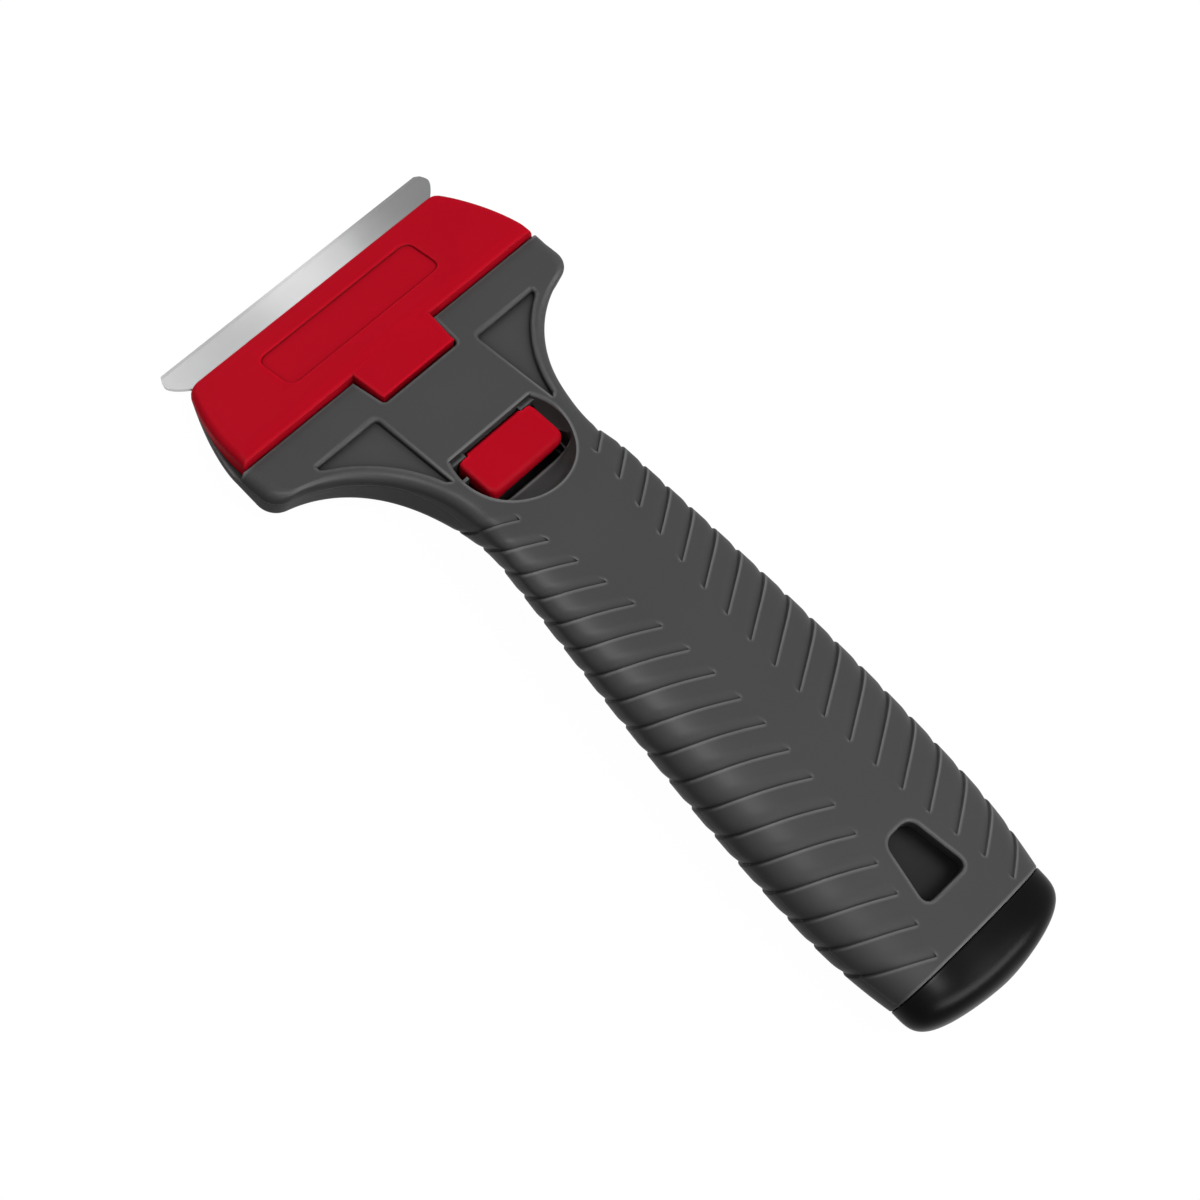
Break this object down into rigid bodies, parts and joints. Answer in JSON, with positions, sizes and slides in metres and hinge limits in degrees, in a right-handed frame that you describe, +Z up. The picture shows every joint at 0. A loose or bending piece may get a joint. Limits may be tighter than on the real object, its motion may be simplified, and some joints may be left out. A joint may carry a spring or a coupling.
{
  "type": "utility scraper",
  "caption": "Hand scraper with a wide steel blade held in a sprung clamp that a thumb button opens, on a ribbed grip with a pull-out cap and tray for spare blades.",
  "frame": {"origin": "centre of the bounding box on the table under the scraper lying on its belly, blade face up", "axes": "+X from the blade to the end cap, +Y sideways, +Z up from the table"},
  "size_m": [0.1722, 0.072, 0.0226],
  "materials": {
    "grey_plastic": "satin",
    "red_plastic": "satin",
    "black_plastic": "gloss",
    "dark_plastic": "matte",
    "blade_steel": "satin",
    "plated_steel": "bright"
  },
  "bodies": {
    "handle": {"upper_shell": "grey_plastic", "lower_shell": "grey_plastic", "scraper_blade": "blade_steel", "lid_pivot_pin": "plated_steel", "clamp_spring": "plated_steel", "blade_peg_1": "plated_steel", "blade_peg_2": "plated_steel", "shell_screw_1": "plated_steel", "shell_screw_2": "plated_steel", "shell_screw_3": "plated_steel", "shell_screw_4": "plated_steel", "shell_screw_5": "plated_steel", "shell_screw_6": "plated_steel"},
    "lid": {"clamp_lid": "red_plastic"},
    "button": {"push_button": "red_plastic"},
    "blade_store": {"end_cap": "black_plastic", "blade_tray": "dark_plastic", "spare_blade_1": "blade_steel", "spare_blade_2": "blade_steel", "spare_blade_3": "blade_steel", "spare_blade_4": "blade_steel", "spare_blade_5": "blade_steel"}
  },
  "joints": [
    {"name": "lid_hinge", "type": "hinge", "parent": "handle", "child": "lid", "pos_m": [-0.05276, 0, 0.00979], "axis": [0, 1, 0], "range_deg": [0, 10], "stiffness_Nm_per_rad": 0.6, "springref_deg": -11.46, "deforming": ["clamp_spring"]},
    {"name": "button_press", "type": "slide", "parent": "handle", "child": "button", "axis": [0.2723, 0, -0.9622], "range_m": [0, 0.0033]},
    {"name": "cap_pull", "type": "slide", "parent": "handle", "child": "blade_store", "axis": [1, 0, 0], "range_m": [0, 0.08]}
  ],
  "couplings": [
    {"joint": "button_press", "follows": "lid_hinge", "m_per_rad": 0.0187}
  ]
}
